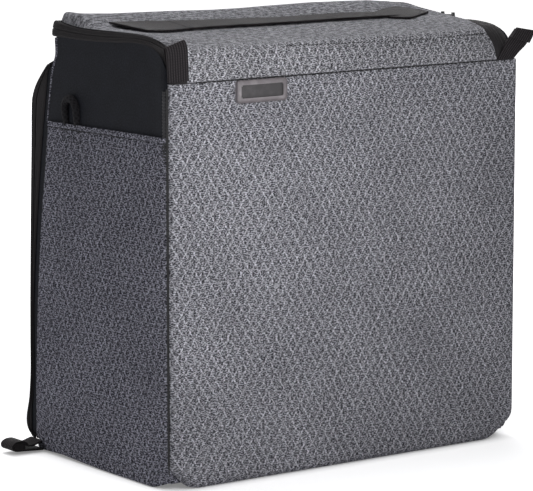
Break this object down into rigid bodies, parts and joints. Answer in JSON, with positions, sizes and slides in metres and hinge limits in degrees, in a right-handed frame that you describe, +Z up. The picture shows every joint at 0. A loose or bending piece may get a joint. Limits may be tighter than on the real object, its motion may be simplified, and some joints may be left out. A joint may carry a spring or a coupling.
{
  "type": "camera bag insert",
  "caption": "Padded camera insert with a zipped top lid, a zipped rear door, movable dividers, side slip pockets and a carry handle.",
  "frame": {"origin": "on the floor under the middle of the insert's width, 100 mm behind the face of the front panel", "axes": "+Z up, -Y out of the front panel, +Y out of the zipped rear door, +X to the viewer's right when facing the front panel"},
  "size_m": [0.3936, 0.2101, 0.3475],
  "materials": {
    "base_panel": "heather grey polyester, matt",
    "front_panel": "heather grey polyester, matt",
    "left_side_wall": "smooth black fabric over foam",
    "right_side_wall": "smooth black fabric over foam",
    "rear_header": "smooth black fabric over foam",
    "left_liner": "brushed loop lining",
    "right_liner": "brushed loop lining",
    "front_liner": "brushed loop lining",
    "base_liner": "brushed loop lining",
    "left_pocket": "heather grey polyester, matt",
    "right_pocket": "heather grey polyester, matt",
    "blank_badge": "moulded soft rubber, matt",
    "lid_zip_lower_tape": "woven zip tape with nylon coil",
    "door_zip_case_tape": "woven zip tape with nylon coil",
    "left_upright_divider": "brushed loop fabric over foam",
    "right_upright_divider": "brushed loop fabric over foam",
    "left_upright_hook_strip": "hook tape",
    "right_upright_hook_strip": "hook tape",
    "left_lower_shelf": "brushed loop fabric over foam",
    "left_upper_shelf": "brushed loop fabric over foam",
    "centre_shelf": "brushed loop fabric over foam",
    "right_shelf": "brushed loop fabric over foam",
    "top_lid": "heather grey polyester, matt",
    "lid_liner": "brushed loop lining",
    "lid_zip_upper_tape": "woven zip tape with nylon coil",
    "handle_left_end": "nylon webbing",
    "handle_right_end": "nylon webbing",
    "handle_grip": "nylon webbing, folded and stitched",
    "left_grab_tab": "nylon webbing",
    "right_grab_tab": "nylon webbing",
    "lower_left_tab": "nylon webbing",
    "lower_right_tab": "nylon webbing",
    "rear_door": "smooth black fabric over foam",
    "door_liner": "brushed loop lining",
    "door_zip_door_tape": "woven zip tape with nylon coil",
    "left_cord_loop": "braided cord",
    "right_cord_loop": "braided cord",
    "lid_front_slider": "black painted zinc",
    "lid_rear_slider": "black painted zinc",
    "door_slider": "black painted zinc",
    "lid_front_pull": "moulded soft rubber",
    "lid_rear_pull": "moulded soft rubber",
    "door_pull": "moulded soft rubber"
  },
  "bodies": {
    "case": {"base_panel": "base_panel", "front_panel": "front_panel", "left_side_wall": "left_side_wall", "right_side_wall": "right_side_wall", "rear_header": "rear_header", "left_liner": "left_liner", "right_liner": "right_liner", "front_liner": "front_liner", "base_liner": "base_liner", "left_pocket": "left_pocket", "right_pocket": "right_pocket", "blank_badge": "blank_badge", "lid_zip_lower_tape": "lid_zip_lower_tape", "door_zip_case_tape": "door_zip_case_tape", "left_upright_divider": "left_upright_divider", "right_upright_divider": "right_upright_divider", "left_upright_hook_strip": "left_upright_hook_strip", "right_upright_hook_strip": "right_upright_hook_strip"},
    "lid": {"top_lid": "top_lid", "lid_liner": "lid_liner", "lid_zip_upper_tape": "lid_zip_upper_tape", "handle_left_end": "handle_left_end", "handle_right_end": "handle_right_end"},
    "handle": {"handle_grip": "handle_grip"},
    "left_tab": {"left_grab_tab": "left_grab_tab"},
    "right_tab": {"right_grab_tab": "right_grab_tab"},
    "left_low_tab": {"lower_left_tab": "lower_left_tab"},
    "right_low_tab": {"lower_right_tab": "lower_right_tab"},
    "door": {"rear_door": "rear_door", "door_liner": "door_liner", "door_zip_door_tape": "door_zip_door_tape"},
    "left_loop": {"left_cord_loop": "left_cord_loop"},
    "right_loop": {"right_cord_loop": "right_cord_loop"},
    "front_slider": {"lid_front_slider": "lid_front_slider"},
    "front_pull": {"lid_front_pull": "lid_front_pull"},
    "rear_slider": {"lid_rear_slider": "lid_rear_slider"},
    "rear_pull": {"lid_rear_pull": "lid_rear_pull"},
    "side_slider": {"door_slider": "door_slider"},
    "side_pull": {"door_pull": "door_pull"},
    "shelf_left_low": {"left_lower_shelf": "left_lower_shelf"},
    "shelf_left_high": {"left_upper_shelf": "left_upper_shelf"},
    "shelf_centre": {"centre_shelf": "centre_shelf"},
    "shelf_right": {"right_shelf": "right_shelf"}
  },
  "joints": [
    {"name": "lid_hinge", "type": "hinge", "parent": "case", "child": "lid", "pos_m": [0, -0.1035, 0.3055], "axis": [1, 0, 0], "range_deg": [0, 145]},
    {"name": "handle_lift", "type": "slide", "parent": "lid", "child": "handle", "axis": [0, 0, 1], "range_m": [0, 0.022]},
    {"name": "left_tab_flex", "type": "hinge", "parent": "lid", "child": "left_tab", "pos_m": [-0.1585, -0.1, 0.3061], "axis": [1, 0, 0], "range_deg": [0, 32], "stiffness_Nm_per_rad": 0.02},
    {"name": "right_tab_flex", "type": "hinge", "parent": "lid", "child": "right_tab", "pos_m": [0.1585, -0.1, 0.3061], "axis": [1, 0, 0], "range_deg": [0, 32], "stiffness_Nm_per_rad": 0.02},
    {"name": "left_low_tab_flex", "type": "hinge", "parent": "case", "child": "left_low_tab", "pos_m": [-0.1678, 0.0855, 0.0019], "axis": [0, 1, 0], "range_deg": [0, 65]},
    {"name": "right_low_tab_flex", "type": "hinge", "parent": "case", "child": "right_low_tab", "pos_m": [0.1678, 0.0855, 0.0019], "axis": [0, -1, 0], "range_deg": [0, 65]},
    {"name": "door_hinge", "type": "hinge", "parent": "case", "child": "door", "pos_m": [0, 0.098, 0.01], "axis": [-1, 0, 0], "range_deg": [0, 90]},
    {"name": "left_loop_swing", "type": "hinge", "parent": "case", "child": "left_loop", "pos_m": [-0.1675, 0.0351, 0.264], "axis": [0, -1, 0], "range_deg": [0, 170]},
    {"name": "right_loop_swing", "type": "hinge", "parent": "case", "child": "right_loop", "pos_m": [0.1675, 0.0351, 0.264], "axis": [0, 1, 0], "range_deg": [0, 170]},
    {"name": "front_slider_run", "type": "slide", "parent": "case", "child": "front_slider", "axis": [0, -1, 0], "range_m": [0, 0.045]},
    {"name": "front_pull_swing", "type": "hinge", "parent": "front_slider", "child": "front_pull", "pos_m": [0.1732, -0.01044, 0.33615], "axis": [0, -1, 0], "range_deg": [0, 90]},
    {"name": "rear_slider_run", "type": "slide", "parent": "case", "child": "rear_slider", "axis": [0, 1, 0], "range_m": [0, 0.045]},
    {"name": "rear_pull_swing", "type": "hinge", "parent": "rear_slider", "child": "rear_pull", "pos_m": [0.1732, 0.00256, 0.33615], "axis": [0, -1, 0], "range_deg": [0, 90]},
    {"name": "side_slider_run", "type": "slide", "parent": "case", "child": "side_slider", "axis": [0, -0.0469, 0.9989], "range_m": [0, 0.12]},
    {"name": "side_pull_swing", "type": "hinge", "parent": "side_slider", "child": "side_pull", "pos_m": [0.1704, 0.09781, 0.07364], "axis": [0, -1, 0], "range_deg": [0, 90]},
    {"name": "left_low_shelf_move", "type": "slide", "parent": "case", "child": "shelf_left_low", "axis": [0, 0, 1], "range_m": [-0.03, 0.035]},
    {"name": "left_high_shelf_move", "type": "slide", "parent": "case", "child": "shelf_left_high", "axis": [0, 0, 1], "range_m": [-0.025, 0.04]},
    {"name": "centre_shelf_move", "type": "slide", "parent": "case", "child": "shelf_centre", "axis": [0, 0, 1], "range_m": [-0.06, 0.06]},
    {"name": "right_shelf_move", "type": "slide", "parent": "case", "child": "shelf_right", "axis": [0, 0, 1], "range_m": [-0.08, 0.04]}
  ]
}
